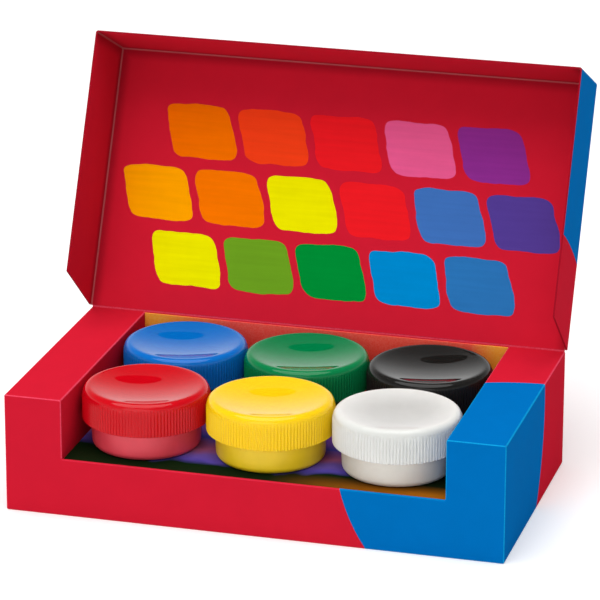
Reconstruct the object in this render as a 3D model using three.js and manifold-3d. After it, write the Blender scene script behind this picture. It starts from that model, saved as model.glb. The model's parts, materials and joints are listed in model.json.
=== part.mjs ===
// Tempera paint set: a folding carton with a hinged lid, a raised platform between two hollow
// side frames, and two rows of squat screw-cap pots standing on the platform.
// Millimetres, +Z up, the open front faces -Y. The origin is the middle of the carton's
// footprint, on its underside. The lid leans back, open, and every cap is screwed down.

import * as THREE from "three";
import { mergeVertices } from "three/addons/utils/BufferGeometryUtils.js";
import Module from "manifold-3d";

const wasm = await Module();
wasm.setup();

// Folding board
const BOARD = 0.6; // thickness of the board
const BEND_RADIUS = 0.2; // inside radius of a fold
const CORNER_RADIUS = 0.3; // inside radius of an upright corner
const GLUE_GAP = 0.1; // glue between two panels, and the film under a standing pot
const RUN_GAP = 0.3; // clearance of pieces that slide or turn past each other
const OVERRUN = 5; // how far a cutting block runs past what it cuts
const FOLD_SEGMENTS = 3; // facets round a fold

// Pot, a thin-walled moulding with a wide neck
const POT_HEIGHT = 18.2;
const POT_RADIUS = 20.4; // outside, just under the cap
const POT_TAPER = 0.3; // how much narrower the foot is than the top of the body
const POT_WALL = 0.8;
const POT_FOOT_RADIUS = 2.4; // rounding between the wall and the underside
const POT_FLOOR = 1.2;
const POT_BORE_ROUNDING = 1.2; // between the bore and the floor
const FOOT_RECESS = 0.4; // hollow of the underside within the standing ring
const STANDING_RING = 1.6; // width of that ring
const NECK_COLLAR = 0.5; // how far the neck stands out from the body
const NECK_HEIGHT = 7.2; // from the neck's shoulder to the rim
const RIM_ROUNDING = 0.3;
const PAINT_HEADSPACE = 0.5; // from the paint's surface to the rim
const PAINT_MENISCUS = 0.35; // how far the middle lies under the edge

// Cap, a dished disc with a ribbed skirt, and the foam disc that seals it
const CAP_HEIGHT = 12.4;
const CAP_WALL = 1.1; // thickness of the dish
const SKIRT_WALL = 1; // from the skirt's bore to the roots of the ribs
const THREAD_ROOM = 1.3; // between the neck and the skirt, for the screw thread
const CAP_BORE_CHAMFER = 0.4; // lead-in at the skirt's lower edge
const SHOULDER_RADIUS = 2.2; // rounding between the skirt and the crest
const SHOULDER_SEGMENTS = 3;
const DISH_DEPTH = 2.4; // from the crest to the middle of the dish
const LAND_WIDTH = 2.4; // ring under the dish that presses the foam on the rim
const LAND_DRAFT = 0.3; // how much wider the land's root is, each side
const GROOVE_WIDTH = 0.9; // groove between the land and the skirt
const GROOVE_DEPTH = 1.1;
const RIB_COUNT = 120;
const RIB_DEPTH = 0.45;
const RIB_FADE = 0.4; // from the full height of the ribs to the shoulder that they die into
const SEAL_THICKNESS = 1;
const SEAL_ROOM = 0.4; // between the foam disc and the skirt
const DISH_RING_SHARES = [0.82, 0.55, 0.27]; // radii of the dish's rings, of its own radius
const CAP_SEGMENTS = 24; // facets round the smooth outside
const BORE_SEGMENTS = 20; // facets round pots, bores and discs

// How the pots stand
const COLUMNS = 3;
const CAP_SPACING = 0.3; // between the caps of a row
const ROW_SPACING = 1.9; // between the caps of the two rows
const BAY_SIDE_ROOM = 0.55; // from the outer caps to the side frames
const BAY_END_ROOM = 1.15; // from the rear caps to the board behind them

// Carton
const PLATFORM_HEIGHT = 21.6; // top of the platform over the underside
const SILL_LIP = 0.5; // how far the low front wall stands over the platform
const HEAD_ROOM = 0.4; // from the caps' crests to the height of the walls
const FRAME_WIDTH = 21.8; // hollow frame on either side of the bay
const FRAME_FOOT_GAP = 3; // between a frame's two feet, glued to the bottom inside the frame
const PLATFORM_FOOT = 12; // glued to the bottom behind the low front wall
const NOTCH_RADIUS = 1.2; // lower corners of the notch in the front wall
const LID_FLANGE = 34.3; // depth of the lid over its outer faces
const LID_CHAMFER = 8.9; // how far a side flange slopes in from the crease
const LID_OPENING = 115.25; // degrees from closed

// Sizes that follow
const UPRIGHT = Math.PI / 2;
const POT_BORE_RADIUS = POT_RADIUS - POT_WALL;
const NECK_RADIUS = POT_RADIUS + NECK_COLLAR;
const CAP_BORE_RADIUS = NECK_RADIUS + THREAD_ROOM;
const CAP_RADIUS = CAP_BORE_RADIUS + SKIRT_WALL + RIB_DEPTH; // over the crests of the ribs
const CAP_PITCH = 2 * CAP_RADIUS + CAP_SPACING;
const ROW_PITCH = 2 * CAP_RADIUS + ROW_SPACING;
const BAY_WIDTH = (COLUMNS - 1) * CAP_PITCH + 2 * (CAP_RADIUS + BAY_SIDE_ROOM);
const BAY_DEPTH = ROW_PITCH + 2 * (CAP_RADIUS + BAY_END_ROOM);
const BASE_WIDTH = BAY_WIDTH + 2 * FRAME_WIDTH;
const BASE_DEPTH = BAY_DEPTH + 2 * (2 * BOARD + GLUE_GAP);
const SEAL_BOTTOM = POT_HEIGHT + GLUE_GAP; // these four are over the pot's underside
const LAND_BOTTOM = SEAL_BOTTOM + SEAL_THICKNESS + GLUE_GAP;
const CAP_CREST = LAND_BOTTOM + CAP_WALL + DISH_DEPTH;
const CAP_BOTTOM = CAP_CREST - CAP_HEIGHT;
const POT_BOTTOM = PLATFORM_HEIGHT + GLUE_GAP;
const BASE_HEIGHT = POT_BOTTOM + CAP_CREST + HEAD_ROOM;
const SILL_HEIGHT = PLATFORM_HEIGHT + SILL_LIP;
const LID_WIDTH = BASE_WIDTH + 2 * (RUN_GAP + BOARD);
const HINGE_Y = BASE_DEPTH / 2 - BOARD / 2;
const HINGE_Z = BASE_HEIGHT + RUN_GAP + BOARD / 2;
const LID_LENGTH = HINGE_Y + BASE_DEPTH / 2 + RUN_GAP + BOARD; // from the hinge axis

// Finishes
const CARTON_FINISH = { color: 0xc41c2d, roughness: 0.42 };
const PLATFORM_FINISH = { color: 0x5b4aa0, roughness: 0.45 };
const FOAM_FINISH = { color: 0xf1efe8, roughness: 0.9 };
const CAP_ROUGHNESS = 0.22;
const POT_ROUGHNESS = 0.5;
const PAINT_ROUGHNESS = 0.3;

// Row by row from the front left: the cap's, the pot's and the paint's own colours.
const PAINTS = [
  { name: "red", cap: 0xd8202c, pot: 0xd5444e, paint: 0xc8141e },
  { name: "yellow", cap: 0xf2cc1f, pot: 0xe6c330, paint: 0xf5c800 },
  { name: "white", cap: 0xe7e7e4, pot: 0xd9d7ce, paint: 0xf2f2ee },
  { name: "blue", cap: 0x0a5fb4, pot: 0x2f6fb5, paint: 0x0b3f9e },
  { name: "green", cap: 0x03824c, pot: 0x2f8f63, paint: 0x046b3a },
  { name: "black", cap: 0x1c1c1a, pot: 0x3a3a38, paint: 0x0c0c0d },
];

/** Only the corner places of a geometry, shared by its triangles, and no triangle without area. */
function weld(geometry) {
  const bare = geometry.clone();
  for (const name of Object.keys(bare.attributes)) {
    if (name !== "position") bare.deleteAttribute(name);
  }
  const merged = mergeVertices(bare);
  const corners = merged.index.array;
  const kept = [];
  for (let i = 0; i < corners.length; i += 3) {
    const [a, b, c] = corners.slice(i, i + 3);
    if (a !== b && b !== c && c !== a) kept.push(a, b, c);
  }
  merged.setIndex(kept);
  return merged;
}

/** A closed geometry as a solid that can be joined and cut. */
function solid(geometry) {
  const { attributes, index } = weld(geometry);
  const vertProperties = Float32Array.from(attributes.position.array);
  const triVerts = Uint32Array.from(index.array);
  return new wasm.Manifold(new wasm.Mesh({ numProp: 3, vertProperties, triVerts }));
}

/** A solid as a geometry. */
function surface(manifold) {
  const { vertProperties, triVerts } = manifold.getMesh();
  const geometry = new THREE.BufferGeometry();
  geometry.setAttribute("position", new THREE.BufferAttribute(Float32Array.from(vertProperties), 3));
  geometry.setIndex([...triVerts]);
  return geometry;
}

/** A rectangle round the origin with round corners. */
function roundedRectangle(width, depth, radius) {
  const shape = new THREE.Shape();
  const x = width / 2 - radius;
  const y = depth / 2 - radius;
  const centres = [[x, y], [-x, y], [-x, -y], [x, -y]];
  centres.forEach(([cx, cy], quarter) => {
    shape.absarc(cx, cy, radius, quarter * UPRIGHT, (quarter + 1) * UPRIGHT);
  });
  return shape;
}

/** An upright block from z = 0 with round upright corners and a round lower edge, open ended above. */
function foldedBlock(width, depth, height, cornerRadius, foldRadius) {
  const geometry = new THREE.ExtrudeGeometry(roundedRectangle(width, depth, cornerRadius), {
    depth: height,
    curveSegments: FOLD_SEGMENTS - 1,
    bevelThickness: foldRadius,
    bevelSize: foldRadius,
    bevelOffset: -foldRadius,
    bevelSegments: FOLD_SEGMENTS - 1,
  });
  return geometry.translate(0, 0, foldRadius);
}

/** A tray of board, folded up round a bottom of the given outside size. Its walls are taller than
 * height by an overrun, to be cut to their outline. */
function foldedTray(width, depth, height) {
  const reach = height + OVERRUN;
  const outside = foldedBlock(width, depth, reach, CORNER_RADIUS + BOARD, BEND_RADIUS + BOARD);
  const inside = foldedBlock(
    width - 2 * BOARD,
    depth - 2 * BOARD,
    reach + OVERRUN,
    CORNER_RADIUS,
    BEND_RADIUS,
  );
  inside.translate(0, 0, BOARD);
  return solid(outside).subtract(solid(inside));
}

/** The section of a strip of board folded at each inner point of a path along its mid-plane: the path
 * is offset by half the board to both sides, with an arc at every fold. */
function foldedStrip(path) {
  const radius = BEND_RADIUS + BOARD / 2;
  const points = path.map(([x, y]) => new THREE.Vector2(x, y));
  const left = [];
  const right = [];
  const put = (place, direction) => {
    const side = new THREE.Vector2(-direction.y, direction.x).multiplyScalar(BOARD / 2);
    left.push(place.clone().add(side));
    right.push(place.clone().sub(side));
  };
  const along = (from, to) => to.clone().sub(from).normalize();
  put(points[0], along(points[0], points[1]));
  for (let i = 1; i < points.length - 1; i += 1) {
    const before = along(points[i - 1], points[i]);
    const after = along(points[i], points[i + 1]);
    const turn = Math.atan2(before.cross(after), before.dot(after));
    const start = points[i].clone().addScaledVector(before, -radius * Math.tan(Math.abs(turn) / 2));
    const toCentre = new THREE.Vector2(-before.y, before.x).multiplyScalar(Math.sign(turn) * radius);
    const centre = start.clone().add(toCentre);
    for (let step = 0; step <= FOLD_SEGMENTS; step += 1) {
      const angle = (turn * step) / FOLD_SEGMENTS;
      const direction = before.clone().rotateAround(new THREE.Vector2(), angle);
      put(start.clone().rotateAround(centre, angle), direction);
    }
  }
  put(points.at(-1), along(points.at(-2), points.at(-1)));
  return new THREE.Shape([...left, ...right.reverse()]);
}

/** A section extruded to both sides of its plane. */
function extrudeAcross(shape, length) {
  const geometry = new THREE.ExtrudeGeometry(shape, {
    depth: length,
    bevelEnabled: false,
    curveSegments: FOLD_SEGMENTS,
  });
  return geometry.translate(0, 0, -length / 2);
}

/** A section drawn in (x, z), extruded along Y to both sides of the middle. */
const extrudeAlongY = (shape, length) => extrudeAcross(shape, length).rotateX(UPRIGHT);

/** A section drawn in (y, z), extruded along X to both sides of the middle. */
const extrudeAlongX = (shape, length) => extrudeAcross(shape, length).rotateX(UPRIGHT).rotateZ(UPRIGHT);

/** Front wall, bottom and rear wall, folded from one strip as wide as the carton. The front wall is low
 * between the side frames. */
function baseTray() {
  const end = BASE_DEPTH / 2 - BOARD / 2;
  const section = foldedStrip([
    [-end, BASE_HEIGHT],
    [-end, BOARD / 2],
    [end, BOARD / 2],
    [end, BASE_HEIGHT],
  ]);
  const walls = extrudeAlongX(section, BASE_WIDTH);

  const notchTop = BASE_HEIGHT + OVERRUN;
  const notch = roundedRectangle(BAY_WIDTH, 2 * (notchTop - SILL_HEIGHT), NOTCH_RADIUS);
  const opening = extrudeAlongY(notch, 2 * OVERRUN);
  opening.translate(0, -BASE_DEPTH / 2, notchTop);
  return surface(solid(walls).subtract(solid(opening)));
}

/** Hollow frame beside the bay, in section: a foot, the carton's side wall, the top, the bay's wall and
 * its foot. side is -1 on the left and 1 on the right. */
function sideFrame(side) {
  const outer = BASE_WIDTH / 2 - BOARD / 2;
  const inner = BAY_WIDTH / 2 + BOARD / 2;
  const foot = (outer - inner - FRAME_FOOT_GAP) / 2;
  const top = BASE_HEIGHT - BOARD / 2;
  const bottom = BOARD + GLUE_GAP + BOARD / 2;
  const path = [
    [outer - foot, bottom],
    [outer, bottom],
    [outer, top],
    [inner, top],
    [inner, bottom],
    [inner + foot, bottom],
  ];
  const section = foldedStrip(path.map(([x, z]) => [side * x, z]));
  return extrudeAlongY(section, BASE_DEPTH - 2 * (BOARD + GLUE_GAP));
}

/** Platform under the pots, in section: a foot on the bottom, a leg behind the low front wall, the
 * platform itself and the board that stands up against the rear wall. */
function platformInsert() {
  const end = BASE_DEPTH / 2 - BOARD - GLUE_GAP - BOARD / 2;
  const top = PLATFORM_HEIGHT - BOARD / 2;
  const bottom = BOARD + GLUE_GAP + BOARD / 2;
  const section = foldedStrip([
    [PLATFORM_FOOT - end, bottom],
    [-end, bottom],
    [-end, top],
    [end, top],
    [end, BASE_HEIGHT - RUN_GAP],
  ]);
  return extrudeAlongX(section, BAY_WIDTH - 2 * RUN_GAP);
}

/** Lid tray, lying on its back with the hinge axis along X through the origin: a panel rounded at the
 * crease, a front flange and two side flanges that slope in to the crease. */
function lidTray() {
  const blank = foldedTray(LID_WIDTH, 2 * LID_LENGTH, LID_FLANGE);
  const free = LID_FLANGE - BOARD / 2;
  const outline = new THREE.Shape();
  outline.absarc(0, 0, BOARD / 2, UPRIGHT, 3 * UPRIGHT);
  outline.lineTo(LID_LENGTH + OVERRUN, -BOARD / 2);
  outline.lineTo(LID_LENGTH + OVERRUN, free);
  outline.lineTo(LID_CHAMFER, free);
  const profile = extrudeAlongX(outline, LID_WIDTH + OVERRUN);
  return surface(blank.translate([0, 0, -BOARD / 2]).intersect(solid(profile)));
}

/** A solid of revolution round Z from a profile of [radius, height] that starts and ends on the axis,
 * with its outside drawn upwards. */
function revolve(profile) {
  const points = profile.map(([radius, height]) => new THREE.Vector2(radius, height));
  return weld(new THREE.LatheGeometry(points, BORE_SEGMENTS).rotateX(UPRIGHT));
}

/** Points of a quarter round about a centre, from one angle to another in degrees. */
function quarterRound([x, y], radius, from, to, segments) {
  return Array.from({ length: segments + 1 }, (_, step) => {
    const angle = THREE.MathUtils.degToRad(from + ((to - from) * step) / segments);
    return [x + radius * Math.cos(angle), y + radius * Math.sin(angle)];
  });
}

/** Pot: a standing ring, a tapered body, and above a small shoulder the neck that takes the cap. */
function pot() {
  const footRadius = POT_RADIUS - POT_TAPER;
  const floor = FOOT_RECESS + POT_FLOOR;
  const shoulder = POT_HEIGHT - NECK_HEIGHT;
  const ring = footRadius - POT_FOOT_RADIUS;
  return revolve([
    [0, FOOT_RECESS],
    [ring - STANDING_RING - FOOT_RECESS, FOOT_RECESS],
    [ring - STANDING_RING, 0],
    ...quarterRound([ring, POT_FOOT_RADIUS], POT_FOOT_RADIUS, -90, 0, FOLD_SEGMENTS),
    [POT_RADIUS, shoulder - (NECK_RADIUS - POT_RADIUS)],
    [NECK_RADIUS, shoulder],
    [NECK_RADIUS, POT_HEIGHT - RIM_ROUNDING],
    [NECK_RADIUS - RIM_ROUNDING, POT_HEIGHT],
    [POT_BORE_RADIUS, POT_HEIGHT],
    [POT_BORE_RADIUS, floor + POT_BORE_ROUNDING],
    [POT_BORE_RADIUS - POT_BORE_ROUNDING, floor],
    [0, floor],
  ]);
}

/** Paint that fills the pot's bore, with its surface drawn up at the wall. */
function paintFill() {
  const floor = FOOT_RECESS + POT_FLOOR + GLUE_GAP;
  const edge = POT_HEIGHT - PAINT_HEADSPACE;
  const radius = POT_BORE_RADIUS - GLUE_GAP;
  return revolve([
    [0, floor],
    [radius - POT_BORE_ROUNDING, floor],
    [radius, floor + POT_BORE_ROUNDING],
    [radius, edge],
    [radius - 2 * PAINT_MENISCUS, edge - PAINT_MENISCUS],
    [0, edge - PAINT_MENISCUS],
  ]);
}

/** Foam disc that the cap presses on the rim. */
function sealDisc() {
  const radius = CAP_BORE_RADIUS - SEAL_ROOM;
  return revolve([
    [0, 0],
    [radius, 0],
    [radius, SEAL_THICKNESS],
    [0, SEAL_THICKNESS],
  ]);
}

/** A smooth ring of points round Z. A ring without radius is one point. */
function smoothRing(radius, height, segments) {
  const count = radius > 0 ? segments : 1;
  return Array.from({ length: count }, (_, i) => {
    const angle = (2 * Math.PI * i) / count;
    return new THREE.Vector3(radius * Math.cos(angle), radius * Math.sin(angle), height);
  });
}

/** A ring that runs over the crests and roots of the ribs in turn. */
function ribbedRing(crestRadius, rootRadius, height) {
  return Array.from({ length: 2 * RIB_COUNT }, (_, i) => {
    const radius = i % 2 ? rootRadius : crestRadius;
    const angle = (Math.PI * i) / RIB_COUNT;
    return new THREE.Vector3(radius * Math.cos(angle), radius * Math.sin(angle), height);
  });
}

/** The closed skin through rings of points, from one axis point to another. Two rings of any counts are
 * zipped together: each triangle takes the next point of the ring that is behind in angle. */
function skin(rings) {
  const places = rings.flat().flatMap((point) => point.toArray());
  const triangles = [];
  let first = 0;
  for (let r = 0; r + 1 < rings.length; r += 1) {
    const [lower, upper] = [rings[r].length, rings[r + 1].length];
    const next = first + lower;
    const steps = [lower > 1 ? lower : 0, upper > 1 ? upper : 0];
    for (let i = 0, j = 0; i < steps[0] || j < steps[1];) {
      const a = first + (i % lower);
      const b = next + (j % upper);
      if (j >= steps[1] || (i < steps[0] && (i + 1) * steps[1] <= (j + 1) * steps[0])) {
        triangles.push(a, first + ((i + 1) % lower), b);
        i += 1;
      } else {
        triangles.push(a, next + ((j + 1) % upper), b);
        j += 1;
      }
    }
    first = next;
  }
  const geometry = new THREE.BufferGeometry();
  geometry.setAttribute("position", new THREE.Float32BufferAttribute(places, 3));
  geometry.setIndex(triangles);
  return geometry;
}

/** Screw cap from its lower edge at z = 0: under the dish a land for the foam and a groove, then the
 * skirt's bore, the ribbed skirt, the round shoulder and the dished top. */
function cap() {
  const rootRadius = CAP_RADIUS - RIB_DEPTH;
  const crestRadius = rootRadius - SHOULDER_RADIUS;
  const shoulderHeight = CAP_HEIGHT - SHOULDER_RADIUS;
  const dish = (radius) => CAP_HEIGHT - DISH_DEPTH * (1 - (radius / crestRadius) ** 2);
  const ribTop = shoulderHeight - RIB_FADE;
  const landBottom = CAP_HEIGHT - DISH_DEPTH - CAP_WALL;
  const landOuter = CAP_BORE_RADIUS - GROOVE_WIDTH;
  const landInner = landOuter - LAND_WIDTH;
  const landRoot = landInner - LAND_DRAFT;
  const groove = landBottom + GROOVE_DEPTH;

  const inside = [
    [0, landBottom],
    [landRoot, dish(landRoot) - CAP_WALL],
    [landInner, landBottom],
    [landOuter, landBottom],
    [landOuter + LAND_DRAFT, groove],
    [CAP_BORE_RADIUS, groove],
    [CAP_BORE_RADIUS, CAP_BORE_CHAMFER],
    [CAP_BORE_RADIUS + CAP_BORE_CHAMFER, 0],
  ];
  const outside = [
    ...quarterRound([crestRadius, shoulderHeight], SHOULDER_RADIUS, 0, 90, SHOULDER_SEGMENTS),
    ...DISH_RING_SHARES.map((share) => [crestRadius * share, dish(crestRadius * share)]),
    [0, dish(0)],
  ];
  return skin([
    ...inside.map(([radius, height]) => smoothRing(radius, height, BORE_SEGMENTS)),
    ribbedRing(CAP_RADIUS, rootRadius, 0),
    ribbedRing(CAP_RADIUS, rootRadius, ribTop),
    ...outside.map(([radius, height]) => smoothRing(radius, height, CAP_SEGMENTS)),
  ]);
}

/** A named mesh with its own material. */
function piece(name, geometry, { color, roughness }) {
  const mesh = new THREE.Mesh(geometry, new THREE.MeshStandardMaterial({ color, roughness, metalness: 0 }));
  mesh.name = name;
  return mesh;
}

/** One pot with its paint, foam disc and cap, standing at the group's origin. */
function paintJar({ name, ...colours }) {
  const jar = new THREE.Group();
  const seal = piece(`${name}_seal`, sealDisc(), FOAM_FINISH);
  const screwCap = piece(`${name}_cap`, cap(), { color: colours.cap, roughness: CAP_ROUGHNESS });
  seal.position.z = SEAL_BOTTOM;
  screwCap.position.z = CAP_BOTTOM;
  jar.add(piece(`${name}_pot`, pot(), { color: colours.pot, roughness: POT_ROUGHNESS }));
  jar.add(piece(`${name}_paint`, paintFill(), { color: colours.paint, roughness: PAINT_ROUGHNESS }));
  jar.add(seal, screwCap);
  return jar;
}

/** The fixed carton: walls and bottom, side frames and platform. */
function carton() {
  const group = new THREE.Group();
  group.add(piece("base_tray", baseTray(), CARTON_FINISH));
  group.add(piece("left_frame", sideFrame(-1), CARTON_FINISH));
  group.add(piece("right_frame", sideFrame(1), CARTON_FINISH));
  group.add(piece("platform_insert", platformInsert(), PLATFORM_FINISH));
  return group;
}

/** The lid on its crease, turned forwards from flat on its back to where it leans. */
function lid() {
  const group = new THREE.Group();
  group.add(piece("lid_tray", lidTray(), CARTON_FINISH));
  group.position.set(0, HINGE_Y, HINGE_Z);
  group.rotation.x = Math.PI - THREE.MathUtils.degToRad(LID_OPENING);
  return group;
}

/** Both rows of pots on the platform, the front row first and each from the left. */
function jars() {
  const group = new THREE.Group();
  PAINTS.forEach((paint, i) => {
    const column = (i % COLUMNS) - (COLUMNS - 1) / 2;
    const row = Math.floor(i / COLUMNS) - 1 / 2;
    const jar = paintJar(paint);
    jar.position.set(column * CAP_PITCH, row * ROW_PITCH, POT_BOTTOM);
    group.add(jar);
  });
  return group;
}

const paintSet = new THREE.Group();
paintSet.name = "tempera_paint_set";
paintSet.add(carton(), lid(), jars());

export default paintSet;
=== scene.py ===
"""Looks of a tempera paint set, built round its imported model.

A folding carton with a hinged lid holds six squat screw-cap pots on a raised, printed platform.
Every piece is a surface worked out in metres in the model's own frame: +X to the right, -Y out of
the open front, +Z up.
"""

import json
import math
from functools import partial

import bpy
import numpy as np
from mathutils import Matrix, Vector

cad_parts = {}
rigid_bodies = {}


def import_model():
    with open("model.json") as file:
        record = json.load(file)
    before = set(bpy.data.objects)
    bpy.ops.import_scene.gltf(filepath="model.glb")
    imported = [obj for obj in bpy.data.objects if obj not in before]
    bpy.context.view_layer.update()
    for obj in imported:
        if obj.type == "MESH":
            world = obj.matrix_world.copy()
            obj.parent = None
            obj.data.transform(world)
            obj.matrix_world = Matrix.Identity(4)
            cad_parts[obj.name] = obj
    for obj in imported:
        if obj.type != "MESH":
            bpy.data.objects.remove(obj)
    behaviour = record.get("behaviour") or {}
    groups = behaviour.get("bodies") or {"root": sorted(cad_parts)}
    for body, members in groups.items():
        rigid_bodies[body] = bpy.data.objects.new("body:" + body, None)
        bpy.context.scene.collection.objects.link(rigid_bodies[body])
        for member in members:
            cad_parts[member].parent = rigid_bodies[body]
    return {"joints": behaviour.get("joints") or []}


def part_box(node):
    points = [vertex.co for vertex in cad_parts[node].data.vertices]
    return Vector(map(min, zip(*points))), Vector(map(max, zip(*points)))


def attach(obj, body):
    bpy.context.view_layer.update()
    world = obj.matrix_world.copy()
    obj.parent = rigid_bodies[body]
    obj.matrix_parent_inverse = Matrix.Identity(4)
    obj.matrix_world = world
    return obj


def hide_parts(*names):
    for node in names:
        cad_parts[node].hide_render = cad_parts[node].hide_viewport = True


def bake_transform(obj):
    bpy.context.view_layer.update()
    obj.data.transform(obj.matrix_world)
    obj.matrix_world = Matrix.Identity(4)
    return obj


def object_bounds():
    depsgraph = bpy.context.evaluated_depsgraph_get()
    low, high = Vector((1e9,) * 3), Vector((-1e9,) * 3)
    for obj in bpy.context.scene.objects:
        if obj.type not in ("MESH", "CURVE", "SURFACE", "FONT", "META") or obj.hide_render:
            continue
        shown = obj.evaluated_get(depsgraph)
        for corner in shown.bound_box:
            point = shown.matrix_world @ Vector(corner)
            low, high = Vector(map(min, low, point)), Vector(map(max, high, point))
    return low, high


bl_info = {
    "name": "Tempera Paint Set", "version": (1, 0, 0), "blender": (4, 5, 0),
    "location": "3D Viewport > Sidebar > Paint Set",
    "description": "Carton of tempera paints with a hinged lid and screw-cap pots", "category": "Add Mesh",
}

MM = 0.001

for leftover in list(bpy.data.objects):
    bpy.data.objects.remove(leftover)
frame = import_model()
CAD_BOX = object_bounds()


def node_box(name):
    """Lowest and highest corner of a node of the frame."""
    low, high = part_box(name)
    return np.array(low), np.array(high)


# What the frame gives: places, the lid's crease, and its lean from closed
BASE_LOW, BASE_HIGH = node_box("base_tray")
FRAME_LOW = node_box("right_frame")[0]
PLATFORM_LOW, PLATFORM_HIGH = node_box("platform_insert")
LID_HIGH = node_box("lid_tray")[1]
LID_HINGE = next(joint for joint in frame["joints"] if joint["name"] == "lid_hinge")
HINGE = np.array(LID_HINGE["pos_m"])
LID_LEAN = math.pi + math.radians(LID_HINGE["range_deg"][0])

# Axes, rounding at the foot of a pot's bore, what counts as on a surface, and the smallest radius
X, Y = 0, 1
BORE_FOOT = 1.2 * MM
TOLERANCE = 0.01 * MM
LEAST = 0.02 * MM

# What noise mostly lies between
SPAN = (0.3, 0.7)

# Finishes of a board piece, face by face
PRINTED, INSIDE, CUT = range(3)


def linear(hex_colour):
    """Linear RGB of an sRGB hex value such as #ca1e32."""
    channels = np.array([int(hex_colour[i : i + 2], 16) for i in (1, 3, 5)]) / 255
    curved = np.where(channels <= 0.04045, channels / 12.92, ((channels + 0.055) / 1.055) ** 2.4)
    return tuple(float(channel) for channel in curved)


def shade(colour, share=1.0):
    """RGBA of a linear colour, or of a hex one, that keeps this share of its light."""
    channels = linear(colour) if isinstance(colour, str) else colour[:3]
    return (*(share * channel for channel in channels), 1.0)


def amount(name, description, default, **kind):
    """A number that a user may change."""
    return bpy.props.FloatProperty(name=name, description=description, default=default, min=0, **kind)


def length(name, description, millimetres):
    """A size that a user may change. It is kept in metres."""
    return amount(name, description, millimetres * MM, unit="LENGTH", precision=5)


def tint(name, description, default):
    """A colour that a user may change, with its default as sRGB hex."""
    return bpy.props.FloatVectorProperty(
        name=name, description=description, default=linear(default), subtype="COLOR", min=0, max=1,
    )


class BoardSettings(bpy.types.PropertyGroup):
    """Folding board and its print"""

    thickness: length("Board", "Thickness of the folding board", 0.6)
    fold: length("Fold radius", "Outside radius of a fold", 0.65)
    lid_fold: length("Lid fold radius", "Outside radius of a fold of the lid", 0.95)
    edge: length("Wall edge", "Rounding at the outline of the front and rear wall", 0.5)
    die_corner: length("Die corner", "Radius that the cutting die leaves in the notch", 0.4)
    foot: length("Foot", "Width of a frame's glued foot", 9)
    platform_foot: length("Platform foot", "Width of the platform's glued foot", 12)
    glue: length("Glue gap", "Between two boards that are glued or stand on each other", 0.1)
    lid_gap: length("Lid gap", "Between the base and the closed lid", 0.3)
    sill_lip: length("Sill lip", "Height of the low front wall over the platform", 0.5)
    chamfer: length("Lid chamfer", "How far a side flange slopes in from the crease", 8.9)
    # The pale line on an inside crease is a painted highlight, and the shade beside it is painted shade
    crease: length("Crease line", "Half width of the pale line where an inside crease is rubbed", 0.45)
    crease_shade: length("Crease shade", "How far the shade beside an inside crease reaches", 5)
    red: tint("Red ground", "Main colour of the printed board", "#c91c31")
    blue: tint("Blue field", "Colour of the field at the front right", "#016bb4")
    core: tint("Board core", "Uncoated back and cut edges of the board", "#d9d3c8")
    # Colour of the painted highlight on the bead of an inside crease
    crease_highlight: tint("Rubbed crease", "What shows where an inside crease is rubbed", "#f6e8e6")


class JarSettings(bpy.types.PropertyGroup):
    """Pots, caps and their colours"""

    ribs: bpy.props.IntProperty(name="Ribs", description="Ribs round a cap", default=120, min=12)
    rib_depth: length("Rib depth", "Height of a rib over the skirt", 0.36)
    skirt_wall: length("Skirt wall", "Wall of the cap's skirt under the ribs", 1)
    top_wall: length("Top wall", "Wall of the cap's dish", 1.1)
    shoulder: length("Shoulder", "Rounding between skirt and crest", 2.4)
    dish: length("Dish depth", "From the crest to the middle of the dish", 2.2)
    land: length("Land depth", "From the crest to the land that presses the foam", 3.5)
    thread_room: length("Thread room", "Between the neck and the cap's bore", 1.3)
    neck: length("Neck", "Height of the neck over the pot's shoulder", 7.2)
    collar: length("Collar", "How far the neck stands out over the body", 0.5)
    pot_wall: length("Pot wall", "Wall of the pot's body", 0.8)
    pot_foot: length("Pot foot", "Rounding at the foot of a pot", 2.4)
    pot_floor: length("Pot floor", "From the standing ring to the inside of the floor", 1.6)
    lead: length("Lead", "Rise of the cap in one turn", 6)
    starts: bpy.props.IntProperty(name="Starts", description="Starts of the screw thread", default=2, min=1)
    foam: tint("Foam", "Sealing disc under a cap", "#e9e7e1")


# Colours of each cap, of its pot with the paint showing through, and of the paint
JAR_COLOURS = {
    "red": ("#c80616", "#ee4858", "#c1121c"), "yellow": ("#f4ca10", "#ffd81e", "#f2bf00"),
    "white": ("#dedfdb", "#ebe7dd", "#f0f0ec"), "blue": ("#046dc6", "#1a5ea8", "#0b3f9e"),
    "green": ("#027f47", "#1e8553", "#046b3a"), "black": ("#1d1c1a", "#2c2c2a", "#0c0c0d"),
}
JAR_THINGS = {"cap": "Polypropylene of the cap", "pot": "Pot with its paint showing", "paint": "Tempera"}
JarSettings.__annotations__.update({
    f"{hue}_{thing}": tint(f"{hue.title()} {thing}", what, value)
    for hue, values in JAR_COLOURS.items() for (thing, what), value in zip(JAR_THINGS.items(), values)
})


class StageSettings(bpy.types.PropertyGroup):
    """Floor, light and camera"""

    floor: tint("Floor", "Colour of the plain floor", "#f0f0f0")
    surround: amount("Surround", "Light of the pale room all round", 0.44)
    overhead: amount("Overhead", "Soft lamp above, in watts", 29, subtype="POWER")
    front: amount("Front", "Soft lamp in front, in watts", 6.1, subtype="POWER")
    lens: amount("Lens", "Focal length", 227.5, subtype="DISTANCE_CAMERA")


class PaintSetSettings(bpy.types.PropertyGroup):
    """Everything that the paint set is worked out from, beside its frame"""

    board: bpy.props.PointerProperty(type=BoardSettings, name="Board", description="Folding board")
    jar: bpy.props.PointerProperty(type=JarSettings, name="Jars", description="Pots and caps")
    stage: bpy.props.PointerProperty(type=StageSettings, name="Stage", description="Floor and camera")


# Curves and surfaces as whole arrays


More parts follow.
